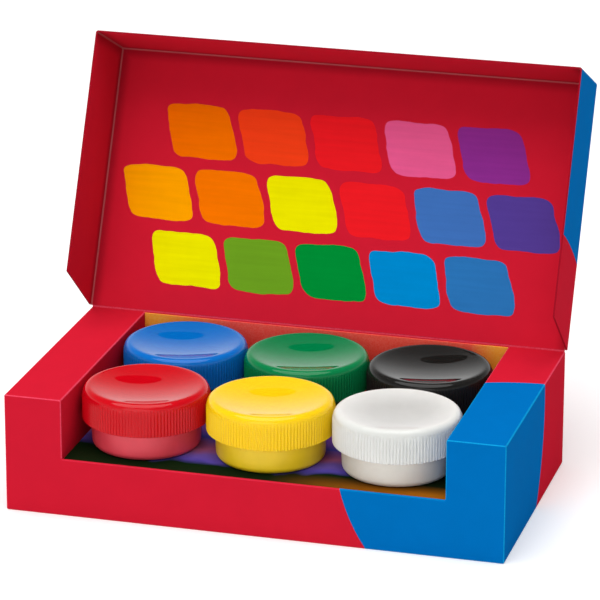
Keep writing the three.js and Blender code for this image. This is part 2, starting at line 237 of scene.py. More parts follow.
def rounded_path(corners, radii, steps=6, closed=False, rest=0.05 * MM):
    """A plane path with an arc in place of each inner corner.

    An arc of radius r leaves the one side and meets the next at r tan(turn / 2) from the corner. One
    more point lies on the straight on either side of it, so that the flats stay flat where they are
    shaded. Gives the points, the unit direction at each, and its bend: the sine of the way along
    the arc, which is 0 where the arc begins and ends and 1 in its middle.
    """
    corners = np.asarray(corners, float)
    count = len(corners)
    way = np.linspace(0, 1, steps + 1)
    points, directions, bends = [], [], []
    for place, radius in zip(range(count) if closed else range(1, count - 1), radii):
        before = corners[place] - corners[place - 1]
        after = corners[(place + 1) % count] - corners[place]
        before, after = before / np.linalg.norm(before), after / np.linalg.norm(after)
        turn = math.atan2(before[0] * after[1] - before[1] * after[0], before @ after)
        start = corners[place] - before * radius * math.tan(abs(turn) / 2)
        arm = math.copysign(radius, turn) * np.array([before[1], -before[0]])
        cosine, sine = np.cos(turn * way)[:, None], np.sin(turn * way)[:, None]
        arc = start - arm + arm * cosine + np.array([-arm[1], arm[0]]) * sine
        heading = before * cosine + np.array([-before[1], before[0]]) * sine
        points += [start[None] - before * rest, arc, arc[-1:] + after * rest]
        directions += [before[None], heading, after[None]]
        bends += [[0], np.sin(np.pi * way), [0]]
    if not closed:
        first, last = corners[1] - corners[0], corners[-1] - corners[-2]
        points = [corners[:1], *points, corners[-1:]]
        directions = [first[None] / np.linalg.norm(first), *directions, last[None] / np.linalg.norm(last)]
        bends = [[0], *bends, [0]]
    return np.concatenate(points), np.concatenate(directions), np.concatenate(bends)


def grid_faces(rows, columns, round_columns=False):
    """Quads of a grid of points that is counted row by row."""
    last = columns if round_columns else columns - 1
    row, column = (
        axis.ravel() for axis in np.meshgrid(np.arange(rows - 1), np.arange(last), indexing="ij")
    )
    after = (column + 1) % columns
    here, above = row * columns, (row + 1) * columns
    return np.stack([here + column, here + after, above + after, above + column], axis=1).tolist()


def end_faces(rows, columns):
    """The faces that close a round grid at its first and its last row."""
    last = (rows - 1) * columns
    return [list(range(columns))[::-1], list(range(last, last + columns))]


def skin(points, faces, finishes=None, bend=None):
    """One closed skin, with its faces turned outwards.

    The volumes between the fans of its faces and its first point add up to more than nothing when
    the faces point out.
    """
    volume = 0.0
    for size in {len(face) for face in faces}:
        rings = points[np.array([face for face in faces if len(face) == size])] - points[0]
        volume += np.einsum("ijk,ik->", np.cross(rings[:, 1:-1], rings[:, 2:]), rings[:, 0])
    if volume < 0:
        faces = [face[::-1] for face in faces]
    return {
        "points": points, "faces": faces, "finishes": [0] * len(faces) if finishes is None else finishes,
        "bend": np.zeros(len(points)) if bend is None else bend,
    }


def ribbon(middle, aside, axis, low, high, finishes=None, bend=None):
    """A path moved to either side, which makes a section that goes from low to high along an axis."""
    section = np.concatenate([middle + aside, (middle - aside)[::-1]])
    count = len(section)
    points = np.concatenate([np.insert(section, axis, end, axis=1) for end in (low, high)])
    faces = [*grid_faces(2, count, round_columns=True), *end_faces(2, count)]
    return skin(points, faces, finishes, bend)


def folded_strip(path, board, axis, low, high, printed_left, far_edge=CUT):
    """A strip of board that is folded along the path of its mid-plane: each point of the path moves half
    the board to its left and half to its right. The arcs of its folds carry the painted fold highlight.
    Where the far edge is printed, the board is doubled over there, and that edge carries the full painted
    highlight."""
    half = board.thickness / 2
    middle, direction, bend = rounded_path(path, [board.fold - half] * (len(path) - 2))
    bend[-1] = far_edge == PRINTED
    aside = half * np.column_stack([-direction[:, 1], direction[:, 0]])
    one, other = (PRINTED, INSIDE) if printed_left else (INSIDE, PRINTED)
    run = len(middle) - 1
    finishes = [one] * run + [far_edge] + [other] * run + [CUT] * 3
    return ribbon(middle, aside, axis, low, high, finishes, np.tile(np.concatenate([bend, bend[::-1]]), 2))


def inset(corners, distance):
    """A closed path, drawn anticlockwise, moved inwards: each corner goes along the sum of its two
    inward normals over one plus their product."""
    corners = np.asarray(corners, float)
    sides = np.roll(corners, -1, axis=0) - corners
    sides /= np.linalg.norm(sides, axis=1, keepdims=True)
    inward = np.column_stack([-sides[:, 1], sides[:, 0]])
    before = np.roll(inward, 1, axis=0)
    return corners + distance * (inward + before) / (1 + (inward * before).sum(axis=1, keepdims=True))


def edged_wall(corners, dented, board, y, outward, cuts=(), steps=5):
    """A flat wall in the plane y whose outline is rounded over all the way along.

    At the angle a the rounding is inset by e (1 - sin a) and set back by e (1 - cos a), with e its radius.
    A dented corner of the outline gains in radius what a full one loses. Along the rounding the bend
    carries the painted fold highlight. The edges at the heights of the cuts are die-cut and not folded, so
    their print hardly suffers there, and they get only a faint share of the painted highlight.
    """
    way = np.linspace(0, 1, steps + 1)
    angle = way * math.pi / 2
    rest, faint_cut_highlight = 0.1 * MM, 0.2
    insets = np.concatenate([[board.edge + rest], board.edge * (1 - np.sin(angle)), [0]])
    depths = np.concatenate([[0], board.edge * (1 - np.cos(angle)), [board.thickness]])
    shares = np.concatenate([[0], np.sin(np.pi * way), [0]])
    rings, bends = [], []
    for distance, depth, share in zip(insets, depths, shares):
        full = max(board.fold - distance, LEAST)
        radii = [board.die_corner + distance if is_dent else full for is_dent in dented]
        outline, _, _ = rounded_path(inset(corners, distance), radii, steps=4, closed=True, rest=LEAST)
        rings.append(np.insert(outline, Y, y - outward * depth, axis=1))
        is_cut = np.abs(outline[:, 1:] - np.asarray(cuts, float)).min(axis=1, initial=1) < board.fold / 2
        bends.append(np.where(is_cut, faint_cut_highlight, 1) * share)
    rows, count = len(rings), len(rings[0])
    faces = [*grid_faces(rows, count, round_columns=True), *end_faces(rows, count)]
    return skin(np.concatenate(rings), faces, bend=np.concatenate(bends))


def slab(low, high, finish):
    """A rectangular panel between two corners."""
    spans = list(zip(low, high))
    points = np.array([(x, y, z) for z in spans[2] for y in spans[1] for x in spans[0]])
    faces = [[0, 2, 3, 1], [4, 5, 7, 6], [0, 1, 5, 4], [2, 6, 7, 3], [0, 4, 6, 2], [1, 3, 7, 5]]
    return skin(points, faces, [finish] * len(faces))


def turned(radius, height, columns, axis):
    """A closed skin of revolution round an upright axis: x = r cos a, y = r sin a, z = h.

    Radius and height have a row for each ring, and a column for each angle or only one column. The
    first and the last row lie on the axis, and each gives one point.
    """
    angle = np.linspace(0, 2 * np.pi, columns, endpoint=False)
    rows = len(height)
    radius = np.broadcast_to(np.reshape(radius, (rows, -1)), (rows, columns))
    height = np.broadcast_to(np.reshape(height, (rows, -1)), (rows, columns))
    rings = np.stack([radius * np.cos(angle), radius * np.sin(angle), height], axis=2)[1:-1]
    poles = np.array([[0, 0, height[0, 0]], [0, 0, height[-1, 0]]])
    column = np.arange(columns)
    after = (column + 1) % columns
    count = (rows - 2) * columns
    top = count - columns
    faces = grid_faces(rows - 2, columns, round_columns=True)
    faces += np.column_stack([after, column, np.full(columns, count)]).tolist()
    faces += np.column_stack([top + column, top + after, np.full(columns, count + 1)]).tolist()
    return skin(np.concatenate([rings.reshape(-1, 3), poles]) + axis, faces)


def finely(profile, step):
    """A profile of (radius, height) with points between its own, so that no side is longer than step."""
    profile = np.asarray(profile, float)
    pieces = [profile[:1]]
    for start, end in zip(profile[:-1], profile[1:]):
        share = np.linspace(0, 1, max(1, math.ceil(np.linalg.norm(end - start) / step)) + 1)[1:, None]
        pieces.append(start + share * (end - start))
    return np.concatenate(pieces)


def quarter(centre, radius, start, end, steps=15):
    """Points round a centre at a radius, from one angle to another."""
    turn = np.linspace(start, end, steps + 1)[:, None]
    return np.asarray(centre) + radius * np.hstack([np.cos(turn), np.sin(turn)])


def rising(value, low, high):
    """0 below low, 1 above high, and 3 t^2 - 2 t^3 between them."""
    t = np.clip((value - low) / (high - low), 0, 1)
    return t * t * (3 - 2 * t)


def thread(height, columns, jar, low, high, shift):
    """Share of a thread's ridge at each height (rows) and angle (columns).

    A start repeats every lead / starts. The ridge stands where the height less lead * angle / full
    turn is half a pitch over a start, and it fades in and out over half a millimetre at either end.
    """
    pitch = jar.lead / jar.starts
    flat, flank, fading = 0.2 * MM, 0.65 * MM, 0.5 * MM
    angle = np.linspace(0, 1, columns, endpoint=False)
    phase = (height[:, None] - shift - jar.lead * angle) / pitch % 1
    ridge = 1 - rising(np.abs(phase - 0.5) * pitch, flat, flank)
    ends = rising(height, low, low + fading) * (1 - rising(height, high - fading, high))
    return ridge * ends[:, None]


def make_piece(name, skins, materials, body, replaced=(), slot=None, smooth=32):
    """One object at the origin from closed skins, with its place in its mesh, that rides on a body."""
    starts = np.cumsum([0] + [len(part["points"]) for part in skins]).tolist()
    faces = [[start + i for i in face] for start, part in zip(starts, skins) for face in part["faces"]]
    points, bends, finishes = (
        np.concatenate([part[key] for part in skins]) for key in ("points", "bend", "finishes")
    )
    mesh = bpy.data.meshes.new(name)
    mesh.from_pydata(points.tolist(), [], faces)
    mesh.attributes.new("bend", "FLOAT", "POINT").data.foreach_set("value", bends.astype(np.float32))
    mesh.polygons.foreach_set("material_index", finishes)
    for material in materials:
        mesh.materials.append(material)
    mesh.shade_smooth()
    mesh.set_sharp_from_angle(angle=math.radians(smooth))
    mesh.update()
    made = bpy.data.objects.new(name, mesh)
    bpy.context.scene.collection.objects.link(made)
    if body:
        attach(made, body)
    if replaced:
        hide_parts(*replaced)
    return made


# Materials


def new_material(name):
    """A node material without nodes, what adds one to it, and a point's place in its object."""
    material = bpy.data.materials.new(name)
    material.use_nodes = True
    material.node_tree.nodes.clear()
    add = partial(node, material.node_tree)
    return material, add, add("TexCoord", out="Object")


def node(tree, kind, inputs=(), operation=None, out=0, stops=None, stepped=False, **settings):
    """Adds a node with its operation and settings, its inputs as values or as links from the sockets
    of others, by name or in their order (of a Map Range: value, from, to), and the stops of a colour
    ramp as (place, colour). Gives one output, or all of them where out is None."""
    made = tree.nodes.new(f"ShaderNode{kind}")
    if operation:
        made.operation = operation
    for key, value in settings.items():
        setattr(made, key, value)
    for key, value in inputs.items() if isinstance(inputs, dict) else enumerate(inputs):
        if isinstance(value, bpy.types.NodeSocket):
            tree.links.new(value, made.inputs[key])
        else:
            made.inputs[key].default_value = value
    if stops:
        ramp = made.color_ramp
        ramp.interpolation = "CONSTANT" if stepped else "LINEAR"
        for place, _ in stops[2:]:
            ramp.elements.new(place)
        for element, (place, colour) in zip(ramp.elements, stops):
            element.position = place
            element.color = shade(colour)
    return made.outputs[out] if made.outputs and out is not None else made.outputs


def tones(colour, share, span=SPAN):
    """Stops of a colour ramp from a share of a colour's light to all of it."""
    return [(span[0], shade(colour, share)), (span[1], colour)]


def varnished_board(name, ink_of):
    """Folding boxboard, offset printed and coated with a matt dispersion varnish.

    The ink lies flat, so the colour is full and even but for a faint mottle, and the varnish leaves only a
    faint broad sheen over the fibres' bumps. Along each fold the ink is painted lighter and paler: in part
    a painted highlight of the rounded fold, in part the print stretched there into a thinner, lighter
    screen of the same ink.
    """
    material, add, place = new_material(name)
    mottle = add("TexNoise", {"Vector": place, "Scale": 1 / (9 * MM), "Detail": 5, "Roughness": 0.6})
    evenness = add("MapRange", [mottle, *SPAN, 0.975, 1.02])
    bend = add("Attribute", out="Fac", attribute_name="bend")
    crackle = add("TexNoise", {"Vector": place, "Scale": 1 / (0.6 * MM), "Detail": 3})
    fold_line_breakup = add("MapRange", [crackle, *SPAN, 0.7, 1.1])
    fold_highlight_and_wear = add("Math", [bend, fold_line_breakup], "MULTIPLY")
    # Painted highlight along the folds, together with the stretched print there: how much the bend
    # brightens the ink and how much paler it makes it
    lighter, thinner = 0.04, -0.44
    strength = add("Math", [fold_highlight_and_wear, lighter, evenness], "MULTIPLY_ADD")
    ink = add("VectorMath", {0: ink_of(add, place), "Scale": strength}, "SCALE")
    fullness = add("Math", [fold_highlight_and_wear, thinner, 1], "MULTIPLY_ADD")
    inked = add("Gamma", [ink, fullness])
    matt = add("MapRange", [mottle, *SPAN, 0.62, 0.72])
    fibres = add("TexNoise", {"Vector": place, "Scale": 1 / (0.9 * MM), "Detail": 4, "Roughness": 0.6})
    tooth = add("Bump", {"Height": fibres, "Strength": 0.15, "Distance": 0.04 * MM})
    surface = add("BsdfPrincipled", {
        "Base Color": inked, "Roughness": matt, "IOR": 1.5, "Specular IOR Level": 0.001, "Normal": tooth,
    })
    add("OutputMaterial", [surface])
    return material


def grained(name, colour, share, pattern, bump, finish, kind="TexNoise", span=SPAN, grain=None):
    """A material of one colour. Over a span of its pattern's values the colour goes from a share of
    its light to all of it. The pattern, or a finer grain, raises the skin by the bump's strength and
    depth. The finish is what else the surface is given."""
    material, add, place = new_material(name)
    drawn = add(kind, {"Vector": place, **pattern})
    raised = add("TexNoise", {"Vector": place, **grain}) if grain else drawn
    tone = add("ValToRGB", [drawn], stops=tones(colour, share, span))
    relief = add("Bump", {"Height": raised, "Strength": bump[0], "Distance": bump[1]})
    surface = add("BsdfPrincipled", {"Base Color": tone, "Normal": relief, **finish})
    add("OutputMaterial", [surface])
    return material


def uncoated_board(board):
    """Uncoated back and cut edges of the boxboard: dull, slightly warm, with short fibres."""
    fibres = {"Scale": 1 / (1.2 * MM), "Detail": 5, "Roughness": 0.7}
    finish = {"Roughness": 0.85, "Specular IOR Level": 0.25}
    return grained("uncoated_boxboard", board.core, 0.88, fibres, (0.4, 0.06 * MM), finish)


def lid_reach(board):
    """How far the lid's outside lies from the crease along the panel."""
    return HINGE[1] - BASE_LOW[1] + board.lid_gap + board.thickness


def lid_coordinates(add, place):
    """A point in the lid's own frame: x along the crease, y along the panel, z into the lid."""
    return add(
        "Mapping", {"Vector": place, "Location": tuple(HINGE), "Rotation": (LID_LEAN, 0, 0)},
        vector_type="TEXTURE",
    )


def two_inks(board, centre, radius, side, in_lid=False):
    """Print in two colours: the blue field is what lies on one side of a ball, so that its edge runs
    on as one curve over the folds. The lid's ball stands in the lid's own frame."""

    def ink_of(add, place):
        own = lid_coordinates(add, place) if in_lid else place
        reach = add("VectorMath", [own, centre], "DISTANCE", out="Value")
        field = add("Math", [reach, radius], side)
        return add("Mix", {0: field, 6: shade(board.red), 7: shade(board.blue)}, out=2, data_type="RGBA")

    return ink_of


# Rows of painted dabs inside the lid: height over the crease, first dab's middle, and the hues
DAB_PITCH = 29 * MM
DAB_ROWS = (
    (21 * MM, -58 * MM, ("#e8e600", "#699c20", "#008a34", "#0087cc", "#2a72b4")),
    (46 * MM, -72.5 * MM, ("#f8a200", "#f07400", "#e8e400", "#ea1c24", "#3d6fb8", "#513d94")),
    (71 * MM, -58 * MM, ("#f07000", "#f04018", "#ea1c24", "#e65c92", "#8a2e90")),
)
DAB_SIZE = (12.9 * MM, 10.4 * MM)
DAB_POWER = 6
DAB_SLANT = 0.3


def lid_dabs(board):
    """Print of the lid's inside: three rows of brush dabs on the red ground.

    A dab is the superellipse |x / a|^p + |y / b|^p < 1 in a sheared cell of its row, with its edge
    moved by noise, and bristle streaks along it that vary the paint's strength.
    """

    def ink_of(add, place):
        own = lid_coordinates(add, place)
        wobble = add(
            "TexNoise", {"Vector": own, "Scale": 1 / (8 * MM), "Detail": 2, "Roughness": 0.4}, out="Color",
        )
        off = add("VectorMath", [wobble, (0.5, 0.5, 0.5)], "SUBTRACT")
        moved = add("VectorMath", [off, (2.4 * MM, 1.8 * MM, 0), own], "MULTIPLY_ADD")
        axes = add("SeparateXYZ", [moved], out=None)
        brushed = add("Mapping", {"Vector": own, "Rotation": (0, 0, 0.25), "Scale": (0.06, 1, 1)})
        streaks = add("TexNoise", {"Vector": brushed, "Scale": 1 / (1.6 * MM), "Detail": 3})
        strength = add("MapRange", [streaks, 0.3, 0.75, 0.96, 1.04])
        ink = shade(board.red)
        for height, first, hues in DAB_ROWS:
            ink = dab_row(add, axes, ink, strength, height, first, hues)
        return creased(add, own, ink, board)

    return ink_of


def creased(add, own, ink, board):
    """The lid's inside beside its creases: a pale line of painted highlight lies along the bead of each
    crease, and painted shade darkens the board on either side of it.

    With the distances from the two flanges and from the panel, one of which is 0 at any point, the
    distance from the nearest crease is the middle one of the three.
    """
    spots = add("SeparateXYZ", [own], out=None)
    edge = LID_HIGH[0] - board.thickness
    far = lid_reach(board) - board.thickness
    sideways = add("Math", [spots[0]], "ABSOLUTE")
    pairs = ([edge, sideways], [far, spots[1]], [spots[2], board.thickness / 2])
    side, front, panel = (add("Math", pair, "SUBTRACT") for pair in pairs)
    nearer = add("Math", [side, front], "MINIMUM")
    other = add("Math", [side, front], "MAXIMUM")
    lower = add("Math", [other, panel], "MINIMUM")
    off = add("Math", [nearer, lower], "MAXIMUM")
    # Painted shade beside a crease, down to this share of the light, and the painted highlight on its bead,
    # mixed in at this share and fading out by this many half widths
    darkest, palest, beyond = 0.66, 0.09, 1.4
    shading = add(
        "MapRange", [off, board.crease, board.crease_shade, darkest, 1], interpolation_type="SMOOTHSTEP",
    )
    shaded = add("VectorMath", {0: ink, "Scale": shading}, "SCALE")
    highlit = add("MapRange", [off, board.crease, beyond * board.crease, palest, 0])
    return add("Mix", {0: highlit, 6: shaded, 7: shade(board.crease_highlight)}, out=2, data_type="RGBA")


def dab_row(add, axes, ink, strength, height, first, hues):
    """One row of dabs over the ink so far. The number of a cell picks its hue from a stepped ramp."""
    up = add("Math", [axes[1], height], "SUBTRACT")
    along = add("Math", [up, DAB_SLANT, axes[0]], "MULTIPLY_ADD")
    cell = add("MapRange", [along, first - DAB_PITCH / 2, first + DAB_PITCH / 2], clamp=False)
    number = add("Math", [cell], "FLOOR")
    share = add("Math", [number, 1 / len(hues), 0.5 / len(hues)], "MULTIPLY_ADD")
    hue = add(
        "ValToRGB", [share], stops=[(i / len(hues), value) for i, value in enumerate(hues)], stepped=True,
    )
    paint = add("VectorMath", {0: hue, "Scale": strength}, "SCALE")
    in_row = add("Math", [share, 0.5, 0.5], "COMPARE")
    inner = add("Math", [cell, number], "SUBTRACT")
    spread = DAB_PITCH / DAB_SIZE[0]
    across = add("Math", [inner, spread, -spread / 2], "MULTIPLY_ADD")
    tall = add("Math", [up, DAB_SIZE[1]], "DIVIDE")
    sizes = [add("Math", [value], "ABSOLUTE") for value in (across, tall)]
    total = add("Math", [add("Math", [size, DAB_POWER], "POWER") for size in sizes], "ADD")
    inside = add("MapRange", [total, 0.96, 1.04, 1, 0])
    mask = add("Math", [inside, in_row], "MULTIPLY")
    return add("Mix", {0: mask, 6: ink, 7: paint}, out=2, data_type="RGBA")


def platform_print(add, place):
    """Print of the platform: soft bands of colour along its depth, from dark green at the front over
    violet and pink to red at the back, with brown at the right front. Towards the sides the bands lie
    further back, by sag times the square of the way from their middle. The board that stands up
    behind is orange at its ends and red in its middle."""
    drift = add("TexNoise", {"Vector": place, "Scale": 1 / (26 * MM), "Detail": 3, "Distortion": 0.8})
    axes = add("SeparateXYZ", [place], out=None)
    sag, aside, drifting, upright_foot = 2.7, 13 * MM, 16 * MM, 23 * MM
    off = add("Math", [axes[0], aside], "ADD")
    squared = add("Math", [off, off], "MULTIPLY")
    bowed = add("Math", [squared, -sag, axes[1]], "MULTIPLY_ADD")
    shifted = add("Math", [drift, drifting, bowed], "MULTIPLY_ADD")
    depth = add("MapRange", [shifted, PLATFORM_LOW[1] + 8 * MM, PLATFORM_HIGH[1]])
    bands = add("ValToRGB", [depth], stops=[
        (0.0, "#16210f"), (0.09, "#10240f"), (0.14, "#5a4cb4"), (0.2, "#7a62c4"), (0.26, "#c070a0"),
        (0.36, "#40409a"), (0.6, "#7c2038"), (0.85, "#c8341c"),
    ])
    rightward = add("MapRange", [axes[0], 5 * MM, 60 * MM])
    near = add("MapRange", [axes[1], PLATFORM_LOW[1] + 12 * MM, PLATFORM_LOW[1] + 4 * MM])
    corner = add("Math", [rightward, near], "MULTIPLY")
    floor = add("Mix", {0: corner, 6: bands, 7: shade("#9a5810")}, out=2, data_type="RGBA")
    sideways = add("MapRange", [axes[0], PLATFORM_LOW[0], PLATFORM_HIGH[0]])
    upright = add("ValToRGB", [sideways], stops=[
        (0.03, "#ff8618"), (0.14, "#fc4a1c"), (0.24, "#f82c24"), (0.9, "#f83020"), (0.97, "#ff8618"),
    ])
    risen = add("Math", [axes[2], upright_foot], "GREATER_THAN")
    return add("Mix", {0: risen, 6: floor, 7: upright}, out=2, data_type="RGBA")


def polished_cap(name, colour, crest, sheer_and_dish_shade):
    """Polypropylene coloured through, from a mould that is polished for the dish and dull for the ribs: an
    even colour, a clear gloss on what faces upward, a broad one on the skirt, and a faint waviness where
    the melt shrank. A translucent colour lets light spread in it, which softens the ribs, and for such a
    cap the dish is darkened with painted shade."""
    material, add, place = new_material(name)
    flow = add("TexNoise", {"Vector": place, "Scale": 1 / (8 * MM), "Detail": 3, "Distortion": 0.6})
    tone = add("ValToRGB", [flow], stops=tones(colour, 0.96))
    height = add("SeparateXYZ", [place], out=2)
    normal = add("TexCoord", out="Normal")
    upward = add("SeparateXYZ", [normal], out=2)
    gloss = add("MapRange", [upward, 0.1, 0.5, 0.34, 0.03])
    # Painted shade in the dish of a translucent cap: darker by up to this share where it lies deep and
    # faces up
    deep, shown = 1.8 * MM, 0.22
    sunk = add("MapRange", [height, crest, crest - deep])
    dish = add("Math", [sunk, upward], "MULTIPLY", use_clamp=True)
    dish_shade = add("MapRange", [dish, 0, 1, 1, 1 - shown * sheer_and_dish_shade])
    body = add("VectorMath", {0: tone, "Scale": dish_shade}, "SCALE")
    wave = add("Bump", {"Height": flow, "Strength": 0.1, "Distance": 0.05 * MM})
    surface = add("BsdfPrincipled", {
        "Base Color": body, "Roughness": gloss, "IOR": 1.49, "Specular IOR Level": 0.26,
        "Subsurface Weight": 0.2 + 0.75 * sheer_and_dish_shade,
        "Subsurface Radius": (1.0, 0.8, 0.7) if sheer_and_dish_shade < 0.5 else (1.0, 1.0, 1.0),
        "Subsurface Scale": (0.8 + 1.2 * sheer_and_dish_shade) * MM, "Normal": wave,
    })
    add("OutputMaterial", [surface])
    return material


def cloudy_pot(name, colour):
    """Natural polypropylene with the paint behind it: a matt skin over a cloudy wall, in which light
    spreads by about a millimetre. The mould's grain is drawn as coarse as it needs to show."""
    clouds = {"Scale": 1 / (6 * MM), "Detail": 4}
    grain = {"Scale": 1 / (0.4 * MM), "Detail": 2}
    finish = {
        "Roughness": 0.42, "IOR": 1.49, "Subsurface Weight": 0.15, "Subsurface Radius": (1.5, 1.2, 1.0),
        "Subsurface Scale": 0.6 * MM,
    }
    return grained(name, colour, 0.93, clouds, (0.12, 0.03 * MM), finish, grain=grain)


def wet_tempera(name, colour):
    """Tempera in its pot: dense pigment under a wet skin, a little uneven where it was filled."""
    swirls = {"Scale": 1 / (7 * MM), "Detail": 4, "Distortion": 1.2}
    return grained(name, colour, 0.85, swirls, (0.3, 0.3 * MM), {"Roughness": 0.25, "IOR": 1.4})


def sealing_foam(colour):
    """Closed-cell polyethylene foam: dull white, with cells of about half a millimetre."""
    return grained(
        "polyethylene_foam", colour, 0.86, {"Scale": 1 / (0.5 * MM)}, (0.5, 0.1 * MM), {"Roughness": 0.8},
        kind="TexVoronoi", span=(0.1, 0.6),
    )


def seen_plainly(add):
    """1 for what the camera sees directly, in gloss or through something clear, and 0 otherwise."""
    rays = add("LightPath", out=None)
    seen = add("Math", [rays["Is Camera Ray"], rays["Is Glossy Ray"]], "MAXIMUM")
    return add("Math", [seen, rays["Is Transmission Ray"]], "MAXIMUM")


def matt_floor(colour):
    """Plain studio floor: it reads as white to the camera and in gloss, and keeps the shadow. Its
    own glow grows away from the object, where the lamps' light falls off."""
    material, add, place = new_material("matt_studio_floor")
    grain = add("TexNoise", {"Vector": place, "Scale": 1 / (40 * MM), "Detail": 3})
    tone = add("ValToRGB", [grain], stops=tones(colour, 0.99))
    matt = add("BsdfDiffuse", [tone])
    distance = add("VectorMath", [place], "LENGTH", out="Value")
    near, far, faint, strong = 0.6, 2.5, 0.2, 0.8
    growing = add("MapRange", [distance, near, far, faint, strong])
    glow = add("Emission", [shade((1, 1, 1)), growing])
    both = add("AddShader", [matt, glow])
    shown = add("MixShader", [seen_plainly(add), matt, both])
    add("OutputMaterial", [shown])
    return material


# Pieces


def board_finishes(name, board, ink_of):
    """Materials of a board piece, in the order of its finishes."""
    bare = bpy.data.materials.get("uncoated_boxboard") or uncoated_board(board)
    return [varnished_board(name, ink_of), bare, bare]


def platform_top(board):
    """Height of the platform's printed side, which lies a glue gap under the pots."""
    return node_box("red_pot")[0][2] - board.glue


class PAINTSET_OT_walls(bpy.types.Operator):
    """Front and rear wall, bottom, and the two side frames of the carton"""

    bl_idname = "paintset.walls"
    bl_label = "Carton Walls"

    def execute(self, context):
        board = context.scene.paint_set.board
        thickness, half = board.thickness, board.thickness / 2
        ball = (95.8 * MM, -49.8 * MM, 36.8 * MM)
        print_of = two_inks(board, ball, radius=64.6 * MM, side="LESS_THAN")
        finishes = board_finishes("varnished_boxboard_base", board, print_of)
        side, top, bay = BASE_HIGH[0], BASE_HIGH[2], FRAME_LOW[0]
        sill = platform_top(board) + board.sill_lip
        notched = [(-side, 0), (side, 0), (side, top), (bay, top), (bay, sill)]
        notched += [(-bay, sill), (-bay, top), (-side, top)]
        dented = [False] * 4 + [True] * 2 + [False] * 2
        front = edged_wall(notched, dented, board, BASE_LOW[1], -1, cuts=(0, sill))
        plain = [(-side, 0), (side, 0), (side, top), (-side, top)]
        rear = edged_wall(plain, [False] * 4, board, BASE_HIGH[1], 1)
        near, far = BASE_LOW[1] + thickness, BASE_HIGH[1] - thickness
        bottom = slab((board.foot - side, near, 0), (side - board.foot, far, thickness), PRINTED)
        make_piece("carton_walls", [front, rear, bottom], finishes, "base", ["base_tray"], "carton")
        for name, hand in (("left_frame", -1), ("right_frame", 1)):
            path = [
                (hand * (side - board.foot), half), (hand * (side - half), half),
                (hand * (side - half), top - half), (hand * (bay + half), top - half),
                (hand * (bay + half), thickness + half), (hand * (bay + board.foot), thickness + half),
            ]
            strip = folded_strip(path, board, Y, near, far, printed_left=hand < 0)
            make_piece(f"{name}_board", [strip], finishes, "base", [name], "carton")
        return {"FINISHED"}


class PAINTSET_OT_platform(bpy.types.Operator):
    """Printed platform with its leg, foot and the board that stands up behind"""

    bl_idname = "paintset.platform"
    bl_label = "Platform"

    def execute(self, context):
        board = context.scene.paint_set.board
        half = board.thickness / 2
        near, far = PLATFORM_LOW[1] + half, PLATFORM_HIGH[1] - half
        top = platform_top(board) - half
        foot = PLATFORM_LOW[2] + half
        side = FRAME_LOW[0] - 0.05 * MM
        path = [
            (near + board.platform_foot, foot), (near, foot), (near, top), (far, top),
            (far, PLATFORM_HIGH[2]),
        ]
        strip = folded_strip(path, board, X, -side, side, printed_left=True, far_edge=PRINTED)
        finishes = board_finishes("varnished_boxboard_platform", board, platform_print)
        make_piece("platform_board", [strip], finishes, "base", ["platform_insert"], "platform")
        return {"FINISHED"}


def lid_skin(board):
    """A section of (inset, height) carried round three sides of the lid's plan.

    The wall's free edge climbs the sloped end of a side flange and stays level after it. The
    outside of a fold is an arc of the fold's radius, and the inside one of what is left of it
    under the board. Two panels and the crease's edge close the skin.
    """
    thickness, half, fold = board.thickness, board.thickness / 2, board.lid_fold
    tight = fold - thickness
    rest = 0.05 * MM
    width = LID_HIGH[0]
    depth = lid_reach(board)
    tall = (LID_HIGH[2] - HINGE[2] - depth * math.sin(LID_LEAN)) / math.cos(LID_LEAN)
    angle = np.linspace(0, math.pi / 2, 7)
    # Painted fold highlight, at this faint share, on the outside folds of the lid; the inside folds get
    # none from the bend
    faint = 0.35
    outer_fold_highlight = faint * np.sin(2 * angle)
    outside = zip(fold * (1 - np.sin(angle)), fold * (1 - np.cos(angle)) - half, outer_fold_highlight)
    inside = zip(fold - tight * np.cos(angle), fold - half - tight * np.sin(angle), 0 * angle)
    section = [
        (fold + rest, -half, 0), *outside, (0, fold - half + rest, 0), (0, None, 0), (thickness, None, 0),
        (thickness, fold - half + rest, 0), *inside, (fold + rest, half, 0),
    ]
    rings, bends = [], []
    for distance, height, bend in section:
        edge = width - distance
        corners = np.array([(-edge, 0), (-edge, depth - distance), (edge, depth - distance), (edge, 0)])
        outer = distance < thickness
        radius = max(fold - distance, LEAST) if outer else rest
        plan, _, across = rounded_path(corners, [radius] * 2, rest=LEAST)
        across = across * (faint if outer else 0)
        kinks = [[-edge, board.chamfer], [edge, board.chamfer]]
        plan = np.insert(plan, [1, len(plan) - 1], kinks, axis=0)
        across = np.insert(across, [1, len(across) - 1], 0)
        slope = half + np.clip(plan[:, 1] / board.chamfer, 0, 1) * (tall - half)
        free = np.maximum(slope, fold - half + 2 * rest)
        rings.append(np.column_stack([plan, free if height is None else np.full(len(plan), height)]))
        bends.append(np.maximum(bend, across))
    rows, count = len(rings), len(rings[0])
    left, right = range(0, rows * count, count), range(count - 1, rows * count, count)
    panels = [*end_faces(rows, count), [*left, *right[::-1]]]
    free_edge = next(i for i, (_, height, _) in enumerate(section) if height is None)
    bands = [PRINTED] * free_edge + [CUT] + [INSIDE] * (rows - 2 - free_edge)
    finishes = [*np.repeat(bands, count - 1), PRINTED, INSIDE, CUT]
    lean = np.array(Matrix.Rotation(LID_LEAN, 3, "X"))
    points = np.concatenate(rings) @ lean.T + HINGE
    return skin(points, [*grid_faces(rows, count), *panels], finishes, np.concatenate(bends))


